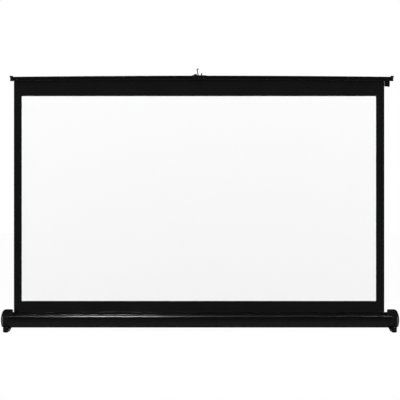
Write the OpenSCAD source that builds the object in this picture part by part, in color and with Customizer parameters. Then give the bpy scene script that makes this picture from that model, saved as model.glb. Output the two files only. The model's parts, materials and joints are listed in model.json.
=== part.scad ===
// Tabletop projection screen. A white screen pulls up out of a low case, off a spring roller,
// and hangs from a top bar. A folding telescopic pole behind the case holds the bar up, and four
// short legs swing out from under the case's ends.
// Millimetres: X runs along the case to the viewer's right, Y to the back and Z up.
// The origin is on the table, below the middle of the case.

/* [Screen surface] */
// Width of the white viewing area
view_w = 1107; // [900:1:1140]
// Height of the white viewing area
view_h = 640; // [560:1:700]
// Black border left of the viewing area
border_left = 24.7; // [10:0.1:30]
// Black border right of the viewing area
border_right = 26; // [10:0.1:30]
// Black border between the viewing area and the top bar
border_top = 48.6; // [20:0.1:80]
// Black border between the case and the viewing area
border_bottom = 34.6; // [20:0.1:80]
// Middle of the viewing area, from the middle of the case
view_shift = -3.5; // [-5:0.1:3]
// Thickness of the screen fabric
sheet_t = 0.5; // [0.3:0.05:0.8]
// Place of the screen surface, from the middle of the case
sheet_y = -6; // [-8:0.1:-4]

/* [Case] */
// Length of the case between its end caps
case_len = 1197; // [1190:1:1300]
// Depth of the case, front to back
case_depth = 50; // [48:0.5:60]
// Height of the case without its neck
case_body_h = 38.1; // [37:0.1:45]
// Wall of the case
case_wall = 1.5; // [1.2:0.1:2.5]
// Radius of the case's upper edges
shoulder_r = 8; // [6:0.5:8.5]
// Radius of the case's lower edges
base_r = 6; // [5:0.5:8]
// Height of the neck round the slot
neck_h = 10.3; // [8:0.1:14]
// Wall of the neck on each side of the slot
neck_wall = 2; // [2:0.1:3]
// Radius of the neck's upper edges
neck_lip_r = 0.8; // [0.5:0.1:1.9]
// Fillet between the neck and the case
neck_fillet = 3; // [1:0.5:4]
// Width of the slot that the screen comes out of
slot_w = 10; // [9.5:0.5:12]
// Hole of each screw channel along the case
port_d = 3; // [2.5:0.1:3.5]
// Wall of each screw channel
port_wall = 1.5; // [1.2:0.1:1.6]

/* [End caps] */
// Length of an end cap past the end of the case
cap_len = 23.8; // [20:0.1:32]
// How far a cap stands proud of the case
cap_proud = 0.8; // [0.4:0.1:2]
// Radius of a cap's bulging side, seen from the front
cap_side_r = 64.5; // [50:0.5:90]
// Height of the widest point of that bulge
cap_mid_z = 37.2; // [27:0.1:42]
// Radius of a cap's upper outer edge
cap_top_r = 13; // [8:0.5:16]
// Radius of a cap's lower outer edge
cap_low_r = 9; // [5:0.5:12]
// Radius of a cap's upright outer edges
cap_plan_r = 9; // [5:0.5:12]
// Length of the ears that reach in over the case
ear_len = 13.5; // [8:0.5:15]
// Height of the ears above the neck
ear_rise = 8.7; // [5:0.1:14]
// Wall of the ears
ear_wall = 3.1; // [2:0.1:5]
// Radius of the ears' inner corners
ear_r = 2.5; // [1:0.5:4]
// Room round the closed bar between the ears
cradle_gap = 0.4; // [0.3:0.1:1]
// Length of the bar's cradle past the end of the case
cradle_len = 10.5; // [9:0.5:12]
// Floor of the cradle above the neck
cradle_floor = 0.4; // [0.2:0.1:2]
// Length of the spigot that enters the case
spigot_len = 12; // [6:0.5:20]
// Wall of the spigot
spigot_wall = 2.5; // [1.5:0.1:3]

/* [Roller] */
// Outer diameter of the roller tube
roller_d = 22; // [18:0.5:23]
// Wall of the roller tube
roller_wall = 1.2; // [0.8:0.1:2]
// Distance from each end of the case to the roller
roller_end_gap = 9; // [5:0.5:14]
// Thickness of the turns left on the roller when the screen is up
wrap_t = 0.45; // [0.4:0.05:1]
// Diameter of the fixed spring shaft
shaft_d = 8; // [6:0.5:9]
// Flat on the end of the spring shaft, from its middle
shaft_flat = 2.8; // [2.2:0.1:2.9]
// Length of the spring shaft inside the case
shaft_run = 400; // [300:1:500]
// Diameter of the idler pin
pin_d = 6; // [4:0.5:8]
// Length of the idler pin inside the case
pin_run = 24; // [18:1:40]
// Depth of both pins in the end caps
pin_seat = 13.4; // [8:0.1:15]
// Length of a roller plug inside the roller tube
plug_len = 18; // [10:1:30]
// Thickness of a plug's flange
plug_flange = 1.5; // [1:0.1:3]
// Outer diameter of the torsion spring
spring_d = 14.8; // [12:0.1:16]
// Wire of the torsion spring
spring_wire = 2.8; // [1:0.1:3]
// Length of the collar that holds the spring on its shaft
collar_len = 8; // [5:0.5:15]
// Length of the plug that hands the spring's pull to the roller
drive_plug_len = 12; // [8:0.5:20]

/* [Top bar] */
// Length of the bar without its end caps
bar_len = 1179; // [1175:1:1180]
// Middle of the bar, from the middle of the case
bar_shift = 5.5; // [4:0.1:6]
// Depth of the bar, front to back
bar_depth = 22; // [20:0.5:26]
// Height of the bar
bar_h = 13; // [12:0.5:16]
// Wall of the bar
bar_wall = 1.5; // [1.2:0.1:2]
// Radius of the bar's edges
bar_r = 1.5; // [0.5:0.1:2]
// Width of the groove along the bar's front
bar_groove_w = 1.2; // [0.6:0.1:2]
// Depth of that groove
bar_groove_d = 0.7; // [0.3:0.1:1]
// Height of the groove above the bar's underside
bar_groove_h = 4.2; // [3:0.1:8]
// Diameter of the rod in the screen's top hem
rod_d = 4; // [3:0.5:4.5]
// Bore of the hem's keyhole in the bar
keyhole_d = 5.2; // [5:0.1:6]
// Wall beside the keyhole
keyhole_wall = 1.5; // [1.2:0.1:2]
// Slit that the screen hangs through
slit_w = 1.6; // [1.2:0.1:2.4]
// Length of an end cap of the bar
bar_cap_len = 11.2; // [8:0.1:11.2]
// How far a bar cap stands proud of the bar's front and back
bar_cap_proud = 1.3; // [0.5:0.1:2]
// How far a bar cap rises above the bar
bar_cap_rise = 3.1; // [1:0.1:4]
// How far a bar cap reaches below the bar
bar_cap_drop = 0.5; // [0.2:0.1:1.5]
// Height of the lip at the top of a bar cap's end
bar_cap_lip = 3.2; // [2:0.1:5]
// How far the end below that lip is set back
bar_cap_bite = 2.2; // [1:0.1:4]
// Radius of a bar cap's inner upper edge
bar_cap_ramp = 2.5; // [1:0.1:3]
// Length of the bar caps' spigots
bar_spigot_len = 14; // [8:0.5:20]
// Length of the closing tongue
tongue_w = 17; // [12:0.5:17]
// Thickness of the closing tongue
tongue_t = 4; // [3:0.1:4.4]
// How far the tongue hangs below the bar
tongue_drop = 18.7; // [14:0.1:19]
// How far the flat of the tongue's lower edge stands above its nose
tongue_step = 1.1; // [0.5:0.1:4]
// Radius of the tongue's nose
tongue_nose_r = 5; // [3:0.5:6]
// Thickness of the tongue's shoulder below the bar
tongue_shoulder = 1.7; // [1:0.1:2]
// Width of that shoulder, front to back
shoulder_w = 12; // [8:0.5:14]

/* [Catch] */
// Left end of the catch, from the middle of the case
catch_from = -25; // [-32:0.5:-24]
// Right end of the catch
catch_to = 20; // [19:0.5:30]
// Thickness of the catch's plate on the bar
catch_t = 3.5; // [1.5:0.1:4]
// How far the catch's skirt hangs over the bar's front
catch_skirt = 11; // [8:0.5:12.5]
// Thickness of that skirt
catch_skirt_t = 1.8; // [1.2:0.1:3]
// Width of the catch's arm
arm_w = 14; // [10:0.5:15]
// Left side of the arm, from the catch's left end
arm_in = 3.8; // [1:0.1:5]
// Height of the arm above the bar
arm_rise = 7.5; // [6:0.5:12]
// Height of the jaws that hold the pole
jaw_h = 21.5; // [18:0.5:22]
// Wall behind the pole
jaw_wall = 4.7; // [4:0.1:7]
// How far the jaws reach past the pole's middle
jaw_reach = 11; // [9:0.5:14]
// Room round the pole in the jaws
jaw_gap = 0.3; // [0.2:0.05:0.6]
// Diameter of the clamp screw
clamp_d = 5; // [4:0.5:6]
// Depth of the clamp screw below the top of the bar
clamp_drop = 13.5; // [10:0.5:14]
// Outer diameter of the threaded insert
insert_d = 7.4; // [7.2:0.1:9]
// Diameter of the clamp's pressure pad
clamp_pad_d = 8; // [6:0.5:9]
// Thickness of the pressure pad
clamp_pad_t = 1.7; // [1:0.1:2]
// Diameter of the lever's hub
hub_d = 9; // [8:0.5:12]
// Length of the lever's hub
hub_len = 6; // [5:0.5:8]
// Wire of the clamp lever
lever_d = 3; // [2.5:0.1:3.5]
// Lean of the lever where it leaves its hub
lever_lean = 36; // [15:1:40]
// Angle that the lever bends back through
lever_bend = 30; // [5:1:40]
// Length of the lever up to its curl
lever_len = 36; // [28:1:45]
// Radius of the curl at the lever's top
curl_r = 2.4; // [2.2:0.1:5]
// Angle of the curl
curl_turn = 100; // [90:5:230]
// Angle of the curl that its soft tip covers
tip_turn = 70; // [50:5:90]
// Wall of the soft tip
tip_wall = 0.5; // [0.4:0.1:0.8]

/* [Pole] */
// Place of the pole along the case
pole_x = 5; // [2:0.5:7]
// Place of the pole behind the middle of the case
pole_y = 36; // [35:0.5:42]
// Height of the pole's pivot above the table
pole_pivot_z = 33.2; // [32.6:0.1:34]
// Outer diameter of the lower tube
lower_d = 12; // [10:0.5:12.5]
// Outer diameter of the upper tube
upper_d = 16; // [15.5:0.5:18]
// Wall of both tubes
tube_wall = 1; // [0.8:0.1:1.2]
// Length of the upper tube
upper_len = 417; // [360:1:430]
// Length of the lower tube inside the upper one when the pole is long
pole_overlap = 60; // [45:1:90]
// How far the upper tube ends below the top of the bar
pole_drop = 4.5; // [2:0.5:8]
// Length of the guides between the tubes
guide_len = 15; // [10:1:20]
// Height of the pole's foot above its pivot
foot_rise = 16; // [12:0.5:20]
// Height of the prong on the pole's tip
prong_h = 13.5; // [8:0.5:18]
// Diameter of the prong at its root
prong_d = 6; // [4:0.5:8]
// Diameter of the prong at its top
prong_tip_d = 4; // [2:0.2:4.6]
// Plate of the pole's bracket
bracket_t = 2; // [1.5:0.1:3]
// Height of the bracket
bracket_h = 25; // [24.5:0.5:25]
// Plate to the left of the pole
bracket_left = 26; // [24:0.5:32]
// Plate to the right of the pole
bracket_right = 32; // [28:0.5:40]
// Distance of the bracket's screws from the pivot's height
bracket_screw_up = 9.5; // [9:0.1:9.8]
// Place of the pole's rest along the case
rest_x = 300; // [200:1:380]
// Width of the pole's rest
rest_w = 12; // [8:0.5:20]
// Wall of the pole's rest
rest_wall = 3.2; // [2:0.1:4]
// Distance of the rest's screws from its middle
rest_screw_in = 12; // [10.5:0.5:14]

/* [Legs] */
// Height of a leg at its pivot
leg_h = 13.8; // [13.5:0.1:18]
// Width of a leg at its pivot
leg_w = 24.7; // [22:0.1:24.7]
// Length of a leg from its pivot to its tip
leg_reach = 97.4; // [85:0.1:150]
// Height of a leg near its tip
leg_tip_h = 10; // [8:0.5:12]
// Inner side of a leg's tip, from the leg's middle line
leg_tip_in = 6.1; // [5.8:0.1:9]
// Outer side of a leg's tip, from the leg's middle line
leg_tip_out = 8.4; // [8:0.1:10]
// Radius of a leg's tip corners
leg_tip_r = 5; // [3:0.5:6]
// Height of a leg's upright inner side, above its slant
leg_lip = 1.8; // [1:0.1:3]
// How far that slant comes in under the leg
leg_slant = 7.4; // [3:0.1:7.8]
// Height of the arch below a leg's pivot
leg_arch = 3.2; // [2.5:0.1:4]
// Gap between a leg and the case above it
leg_gap = 0.3; // [0.2:0.1:0.6]
// Gap between two folded legs
leg_side_gap = 0.5; // [0.3:0.1:1]
// Distance from the end of the case to a leg's pivot
leg_pivot_out = 4.1; // [4:0.1:6]
// Diameter of a leg's pivot screw
leg_screw_d = 6; // [5:0.5:7]
// Depth of the pivot screw in the end cap
leg_screw_seat = 13; // [8:0.5:14]
// Diameter of the pivot washer
leg_washer_d = 13; // [11:0.5:15]
// Thickness of the pivot washer
leg_washer_t = 1.5; // [1:0.1:2]
// How far the rubber pads stand below a leg
pad_proud = 1; // [0.5:0.1:2]
// Depth of the pads in a leg
pad_seat = 1.5; // [1:0.1:2]
// Width of a pad
pad_w = 11; // [8:0.5:11]
// Length of a pad
pad_len = 40; // [25:1:45]
// Distance from a leg's tip to its pad
pad_end = 6; // [5:0.5:10]
// Edge of a leg outside its pad
pad_edge = 1.1; // [1:0.1:1.5]

/* [Screws] */
// Head of a small screw
head_d = 5.5; // [4.5:0.1:5.6]
// Height of a small screw's head
head_h = 2; // [1.2:0.1:2.4]
// Play of a screw or pin in its hole, on the radius
play = 0.05; // [0.03:0.01:0.08]
// Running clearance of a joint, on the radius
run = 0.06; // [0.04:0.01:0.1]
// Gap between pieces that pass each other
pass = 0.3; // [0.2:0.05:0.5]
// Length of the cap screws' shanks
cap_screw_len = 27; // [20:1:40]
// Length of the bracket screws' shanks
plate_screw_len = 6; // [4:0.5:7]
// Length of the catch screws' shanks
catch_screw_len = 5.5; // [4:0.5:6.5]

/* [Hidden] */
$fn = 64;
arc_steps = 6;

// Fits: a light press, a seat, a slip over a screw or boss, and room around a screw's head
press_gap = 0.1;
seat_gap = 0.15;
slip = 0.2;
head_gap = 0.4;

// Heights
case_z0 = leg_h + leg_gap;
body_top = case_z0 + case_body_h;
neck_top = body_top + neck_h;
case_mid_z = case_z0 + case_body_h / 2;
cap_top = neck_top + ear_rise;
bar_z0 = neck_top + border_bottom + view_h + border_top;
bar_top = bar_z0 + bar_h;
bar_mid_z = bar_z0 + bar_h / 2;
// The screen's edges
sheet_x0 = view_shift - view_w / 2 - border_left;
sheet_x1 = view_shift + view_w / 2 + border_right;
// The roller turns behind the screen, in the middle of the case's height
wrap_r = roller_d / 2 + wrap_t;
wrap_gap = 0.1;
roller_y = sheet_y + sheet_t / 2 + wrap_gap + wrap_r;
roller_z = case_mid_z;
roller_half = case_len / 2 - roller_end_gap;
roller_bore_r = roller_d / 2 - roller_wall;
shaft_x0 = -case_len / 2 - pin_seat;
collar_x = -roller_half + plug_len + pass + 2;
spring_x0 = collar_x + collar_len + pass;
spring_x1 = -case_len / 2 + shaft_run - drive_plug_len - 4;
// Screw channels in the case's corners
port_r = port_d / 2;
port_in = case_wall + port_r + port_wall - 0.1;
port_y = case_depth / 2 - port_in;
port_low_z = case_z0 + port_in;
port_high_z = body_top - port_in;
// Bar
keyhole_half = keyhole_d / 2 + keyhole_wall;
rod_z = bar_mid_z;
bar_x0 = bar_shift - bar_len / 2;
bar_x1 = bar_shift + bar_len / 2;
cradle_half = bar_depth / 2 + bar_cap_proud + cradle_gap;
hood_half = cradle_half + ear_wall;
tongue_gap = 0.3;
tongue_corner_r = 1.5;
tongue_x0 = sheet_x1 + tongue_gap;
// Catch and clamp
arm_r = arm_w / 2 - 0.5;
jaw_corner_r = 3;
catch_back = sheet_y + bar_depth / 2;
jaw_r = upper_d / 2 + jaw_gap;
jaw_back = pole_y + jaw_r + jaw_wall;
jaw_z0 = bar_top - jaw_h;
clamp_z = bar_top - clamp_drop;
pad_y0 = pole_y + jaw_r;
hub_y = jaw_back + pass;
lever_y = hub_y + hub_len / 2;
lever_start = hub_d / 2 - 2.5;
lever_r = lever_len * 180 / (PI * lever_bend);
lever_sag = pow(hub_d / 2 - lever_start, 2) / lever_r;
// Pole
upper_z1 = bar_top - pole_drop;
upper_z0 = upper_z1 - upper_len;
lower_z0 = pole_pivot_z + foot_rise;
lower_z1 = upper_z0 + pole_overlap;
foot_r = upper_d / 2;
cheek_y = pole_y + foot_r + 2 * pass;
bracket_z0 = pole_pivot_z - bracket_h / 2;
plate_y = case_depth / 2;
bolt_r = 3;
bolt_tail = 6.5;
nut_h = 4.4;
nut_r = 5.7;
nut_flange_h = 0.8;
nut_flange_r = 6;
bracket_screw_in = 5;
// Legs
leg_x = case_len / 2 + leg_pivot_out;
leg_y = (leg_w + leg_side_gap) / 2;
leg_screw_r = leg_screw_d / 2;
leg_head_h = 2.7;
leg_head_sink = 0.6;
leg_socket_h = 1.7;
leg_socket_r = 2;
leg_head_z = leg_arch + leg_head_sink + leg_head_h;
leg_head_r = leg_screw_r + 1.5;
screw_r = port_r - play;
head_r = head_d / 2;
cross_w = 0.8;

// A flat outline in Y and Z, drawn out along X
module along_x(x0, length) {
    translate([x0, 0, 0]) rotate([90, 0, 90]) linear_extrude(length) children();
}

// A flat outline in X and Z, drawn out along Y
module along_y(y0, length) {
    translate([0, y0 + length, 0]) rotate([90, 0, 0]) linear_extrude(length) children();
}

// A flat outline in X and Y, drawn out upwards
module up(z0, height) {
    translate([0, 0, z0]) linear_extrude(height) children();
}

module round_x(x0, length, r) {
    translate([x0, 0, 0]) rotate([0, 90, 0]) cylinder(h = length, r = r);
}

module round_y(y0, length, r) {
    translate([0, y0, 0]) rotate([-90, 0, 0]) cylinder(h = length, r = r);
}

// Rectangle with round lower and upper corners
module round_box(left, right, low, high, low_r, high_r) {
    translate([left, low + low_r]) square([right - left, high - low - low_r - high_r]);
    translate([left + low_r, low]) square([right - left - 2 * low_r, (high - low) / 2]);
    translate([left + high_r, (low + high) / 2]) square([right - left - 2 * high_r, (high - low) / 2]);
    if (low_r > 0) {
        for (x = [left + low_r, right - low_r]) translate([x, low + low_r]) circle(low_r);
    }
    if (high_r > 0) {
        for (x = [left + high_r, right - high_r]) translate([x, high - high_r]) circle(high_r);
    }
}

// Points of an arc in the plane, from one angle to another
function arc(x, y, r, from, to) =
    [for (i = [0:arc_steps]) let (a = from + (to - from) * i / arc_steps) [x + r * cos(a), y + r * sin(a)]];

// Fills the corner between two walls that meet at the origin, with a hollow round
module corner_fill(r) {
    difference() {
        translate([-1, -1]) square(r + 1);
        translate([r, r]) circle(r);
    }
}

// Screw with its head above z = 0, its shank below and a cross in its head
module pan_screw(length, shank, head, height) {
    difference() {
        union() {
            cylinder(h = height, r = head);
            translate([0, 0, -length]) cylinder(h = length + height / 2, r = shank);
        }
        for (turn = [0, 90]) {
            rotate([0, 0, turn]) translate([-head * 0.55, -cross_w / 2, height * 0.45])
                cube([head * 1.1, cross_w, height]);
        }
    }
}

// Outline of the case in Y and Z, grown all round
module case_outline(grow) {
    round_box(-case_depth / 2 - grow, case_depth / 2 + grow, case_z0 - grow, body_top + grow,
        base_r + grow, shoulder_r + grow);
    neck_half = slot_w / 2 + neck_wall + grow;
    round_box(sheet_y - neck_half, sheet_y + neck_half, case_mid_z, neck_top + grow, 0, neck_lip_r + grow);
    for (side = [0, 1]) {
        translate([sheet_y, body_top + grow]) mirror([side, 0]) translate([neck_half, 0])
            corner_fill(neck_fillet);
    }
}

// Inside of the case, drawn in by a gap
module case_inside(gap) {
    inset = case_wall + gap;
    round_box(-case_depth / 2 + inset, case_depth / 2 - inset, case_z0 + inset, body_top - inset,
        base_r - inset, shoulder_r - inset);
}

module at_ports() {
    for (y = [-port_y, port_y], z = [port_low_z, port_high_z]) translate([y, z]) children();
}

// Places of the screws in the case's back
module at_back_screws() {
    left = pole_x - bracket_left + bracket_screw_in;
    right = pole_x + bracket_right - bracket_screw_in;
    for (x = [left, right], side = [-1, 1]) {
        translate([x, plate_y, pole_pivot_z + side * bracket_screw_up]) children();
    }
}

module at_rest_screws() {
    for (side = [-1, 1]) {
        translate([rest_x + side * rest_screw_in, plate_y, pole_pivot_z + bracket_screw_up]) children();
    }
}

module case_tube() {
    color("#151515") difference() {
        along_x(-case_len / 2, case_len) difference() {
            union() {
                difference() {
                    case_outline(0);
                    case_inside(0);
                    translate([sheet_y - slot_w / 2, case_mid_z]) square([slot_w, neck_top]);
                }
                at_ports() circle(port_r + port_wall);
            }
            at_ports() circle(port_r);
        }
        at_back_screws() round_y(-case_wall - 1, case_wall + 2, screw_r + play);
        at_rest_screws() round_y(-case_wall - 1, case_wall + 2, screw_r + play);
    }
}

// Front view of an end cap, with x counted out from the end of the case
module cap_front() {
    side_x = cap_len - cap_side_r;
    top_z = cap_top - cap_top_r;
    top_x = side_x + sqrt(pow(cap_side_r - cap_top_r, 2) - pow(top_z - cap_mid_z, 2));
    meet_z = cap_mid_z + cap_side_r * (top_z - cap_mid_z) / (cap_side_r - cap_top_r);
    low_z = case_z0 + cap_low_r;
    low_x = side_x + sqrt(pow(cap_side_r, 2) - pow(low_z - cap_mid_z, 2)) - cap_low_r;
    translate([-ear_len + ear_r, case_z0]) square([top_x + ear_len - ear_r, cap_top - case_z0]);
    translate([-ear_len, case_z0]) square([top_x + ear_len, cap_top - ear_r - case_z0]);
    translate([-ear_len + ear_r, cap_top - ear_r]) circle(ear_r);
    translate([0, case_z0]) square([low_x, meet_z - case_z0]);
    translate([top_x, top_z]) circle(cap_top_r);
    translate([low_x, low_z]) circle(cap_low_r);
    intersection() {
        translate([side_x, cap_mid_z]) circle(cap_side_r);
        translate([0, low_z]) square([cap_len + 1, meet_z - low_z]);
    }
}

// End view of an end cap in Y and Z
module cap_end() {
    half = case_depth / 2 + cap_proud;
    top = body_top + cap_proud;
    round_box(-half, half, case_z0, top, base_r + cap_proud, shoulder_r + cap_proud);
    round_box(sheet_y - hood_half, sheet_y + hood_half, case_mid_z, cap_top, 0, ear_r);
    for (side = [0, 1]) {
        translate([sheet_y, top]) mirror([side, 0]) translate([hood_half, 0]) corner_fill(neck_fillet);
    }
}

module cradle_cut() {
    translate([sheet_y - cradle_half, neck_top + cradle_floor]) square([2 * cradle_half, ear_rise + 1]);
}

module cap_ears() {
    along_x(-ear_len, ear_len + 0.5) difference() {
        intersection() {
            cap_end();
            translate([sheet_y - hood_half, body_top - 3]) square([2 * hood_half, cap_top]);
        }
        case_outline(cap_proud / 4);
        translate([sheet_y - cradle_half, case_mid_z]) square([2 * cradle_half, cap_top]);
    }
}

module cap_spigot() {
    along_x(-spigot_len, spigot_len + 0.5) difference() {
        case_inside(press_gap);
        case_inside(spigot_wall);
        at_ports() circle(port_r + port_wall + slip);
        translate([sheet_y - slot_w / 2 - 1, case_mid_z]) square([slot_w + 2, cap_top]);
    }
}

// The right end cap, with x counted out from the end of the case
module cap_body() {
    difference() {
        union() {
            intersection() {
                along_y(-case_depth, 2 * case_depth) cap_front();
                union() {
                    along_x(0, cap_len) cap_end();
                    cap_ears();
                }
                up(0, cap_top + 1) union() {
                    half = case_depth / 2 + cap_proud;
                    translate([-ear_len, -half]) square([ear_len + cap_len - cap_plan_r, 2 * half]);
                    translate([0, -half + cap_plan_r]) square([cap_len, 2 * half - 2 * cap_plan_r]);
                    for (side = [-1, 1]) {
                        translate([cap_len - cap_plan_r, side * (half - cap_plan_r)]) circle(cap_plan_r);
                    }
                }
            }
            cap_spigot();
        }
        along_x(-1, cradle_len + 1) cradle_cut();
        along_x(-1, cap_len) at_ports() circle(port_r + slip);
        along_x(pin_seat, cap_len) at_ports() circle(head_r + head_gap);
        for (side = [-1, 1]) {
            translate([leg_pivot_out, side * leg_y, 0])
                cylinder(h = case_z0 + leg_screw_seat, r = leg_screw_r + play);
        }
    }
}

module left_end_cap() {
    color("#1b1b1b") mirror([1, 0, 0]) translate([case_len / 2, 0, 0]) difference() {
        cap_body();
        along_x(-1, pin_seat + 1) translate([roller_y, roller_z]) intersection() {
            circle(shaft_d / 2 + play);
            translate([-shaft_d, -shaft_d]) square([2 * shaft_d, shaft_d + shaft_flat + play]);
        }
    }
}

module right_end_cap() {
    color("#1b1b1b") translate([case_len / 2, 0, 0]) difference() {
        cap_body();
        translate([0, roller_y, roller_z]) round_x(-1, pin_seat + 1, pin_d / 2 + play);
    }
}

module cap_screws() {
    color("#2a2a2a") for (side = [0, 1]) mirror([side, 0, 0]) {
        for (y = [-port_y, port_y], z = [port_low_z, port_high_z]) {
            translate([case_len / 2 + pin_seat, y, z]) rotate([0, 90, 0])
                pan_screw(cap_screw_len, screw_r, head_r, head_h);
        }
    }
}

module on_roller() {
    translate([0, roller_y, roller_z]) children();
}

module spring_shaft() {
    length = pin_seat + shaft_run;
    color("#9a9c9e") on_roller() difference() {
        round_x(shaft_x0, length, shaft_d / 2);
        translate([shaft_x0 - 1, -shaft_d, shaft_flat]) cube([pin_seat + 1, 2 * shaft_d, shaft_d]);
    }
}

module spring_collar() {
    color("#6f7173") on_roller() difference() {
        round_x(collar_x, collar_len, roller_bore_r - 1);
        round_x(collar_x - 1, collar_len + 2, shaft_d / 2 + play);
    }
}

module idler_pin() {
    color("#9a9c9e") on_roller() round_x(case_len / 2 - pin_run, pin_run + pin_seat, pin_d / 2);
}

module roller_tube() {
    color("#b8babd") on_roller() difference() {
        round_x(-roller_half, 2 * roller_half, roller_d / 2);
        round_x(-roller_half - 1, 2 * roller_half + 2, roller_bore_r);
    }
}

// The last turns of the screen stay on the roller
module wound_fabric() {
    color("#131313") on_roller() difference() {
        round_x(sheet_x0, sheet_x1 - sheet_x0, wrap_r);
        round_x(sheet_x0 - 1, sheet_x1 - sheet_x0 + 2, roller_d / 2 + 0.02);
    }
}

// Plug in an end of the roller, turning on a fixed pin, with x counted in from its flange
module roller_plug(bore_r) {
    difference() {
        union() {
            round_x(-plug_flange, plug_flange, roller_d / 2);
            round_x(-plug_flange, plug_len + plug_flange, roller_bore_r - play);
        }
        round_x(-plug_flange - 1, plug_len + plug_flange + 2, bore_r);
    }
}

module left_roller_plug() {
    color("#e6e4dc") on_roller() translate([-roller_half, 0, 0]) roller_plug(shaft_d / 2 + run);
}

module right_roller_plug() {
    color("#e6e4dc") on_roller() mirror([1, 0, 0]) translate([-roller_half, 0, 0])
        roller_plug(pin_d / 2 + run);
}

// The close-wound spring between its collar and the drive plug, as the sleeve that its coils make
module torsion_spring() {
    color("#55585a") on_roller() difference() {
        round_x(spring_x0, spring_x1 - spring_x0, spring_d / 2);
        round_x(spring_x0 - 1, spring_x1 - spring_x0 + 2, spring_d / 2 - spring_wire);
    }
}

module drive_plug() {
    color("#e6e4dc") on_roller() difference() {
        round_x(spring_x1, drive_plug_len, roller_bore_r - play);
        round_x(spring_x1 - 1, drive_plug_len + 2, shaft_d / 2 + run);
    }
}

module screen_sheet() {
    top = rod_z - rod_d / 2 - wrap_gap;
    color("#f2f2f2") translate([sheet_x0, sheet_y - sheet_t / 2, roller_z])
        cube([sheet_x1 - sheet_x0, sheet_t, top - roller_z]);
}

// Hollows of the bar on each side of its keyhole, in Y and Z
module bar_chambers(gap) {
    inset = bar_wall + gap;
    for (side = [0, 1]) {
        translate([sheet_y, 0]) mirror([side, 0]) translate([keyhole_half + gap, bar_z0 + inset])
            square([bar_depth / 2 - inset - keyhole_half - gap, bar_h - 2 * inset]);
    }
}

module top_bar() {
    front = sheet_y - bar_depth / 2;
    color("#151515") difference() {
        along_x(bar_x0, bar_len) difference() {
            round_box(front, front + bar_depth, bar_z0, bar_top, bar_r, bar_r);
            bar_chambers(0);
            translate([sheet_y, rod_z]) circle(keyhole_d / 2);
            translate([sheet_y - slit_w / 2, bar_z0 - 1]) square([slit_w, rod_z - bar_z0 + 1]);
            translate([front - 1, bar_z0 + bar_groove_h]) square([bar_groove_d + 1, bar_groove_w]);
        }
        at_catch_screws() round_y(catch_skirt_t - 1, bar_wall + 2, screw_r + play);
    }
}

module hem_rod() {
    color("#8e9092") translate([0, sheet_y, rod_z]) round_x(sheet_x0 + 1, sheet_x1 - sheet_x0 - 2, rod_d / 2);
}

// Front view of a bar cap, with x counted out from the end of the bar: a lip flares out at its top
module bar_cap_front(low, high) {
    under_lip = high - bar_cap_lip - bar_cap_bite;
    polygon(concat(
        [[0, low], [bar_cap_len - bar_cap_bite, low]],
        arc(bar_cap_len, under_lip, bar_cap_bite, 180, 90),
        arc(bar_cap_len - bar_r, high - bar_r, bar_r, 0, 90),
        arc(bar_cap_ramp, high - bar_cap_ramp, bar_cap_ramp, 90, 180)
    ));
}

module bar_cap() {
    low = bar_z0 - bar_cap_drop;
    high = bar_top + bar_cap_rise;
    half = bar_depth / 2 + bar_cap_proud;
    intersection() {
        along_y(sheet_y - half, 2 * half) bar_cap_front(low, high);
        along_x(-1, bar_cap_len + 2) round_box(sheet_y - half, sheet_y + half, low, high, bar_r, bar_r);
    }
    along_x(-bar_spigot_len, bar_spigot_len + 1) bar_chambers(press_gap);
}

module left_bar_cap() {
    color("#1b1b1b") translate([bar_x0, 0, 0]) mirror([1, 0, 0]) bar_cap();
}

module right_bar_cap() {
    color("#1b1b1b") translate([bar_x1, 0, 0]) bar_cap();
}

// Tongue beside the screen's right edge. Its bead runs in the bar's keyhole, and it enters the case's slot
module closing_tongue() {
    low = bar_z0 - tongue_drop;
    nose_x = tongue_x0 + tongue_w - tongue_nose_r;
    web_w = slit_w - 2 * seat_gap;
    color("#1b1b1b") {
        along_y(sheet_y - tongue_t / 2, tongue_t) {
            round_box(tongue_x0, tongue_x0 + tongue_w, low + tongue_step, bar_z0 - tongue_shoulder / 2,
                tongue_corner_r, 0);
            translate([nose_x, low + tongue_nose_r]) circle(tongue_nose_r);
        }
        translate([0, sheet_y, 0]) along_x(tongue_x0, tongue_w) union() {
            translate([-shoulder_w / 2, bar_z0 - tongue_shoulder]) square([shoulder_w, tongue_shoulder]);
            translate([-web_w / 2, bar_z0 - 1]) square([web_w, rod_z - bar_z0 + 1]);
            translate([0, rod_z]) circle(keyhole_d / 2 - slip);
        }
    }
}

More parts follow.
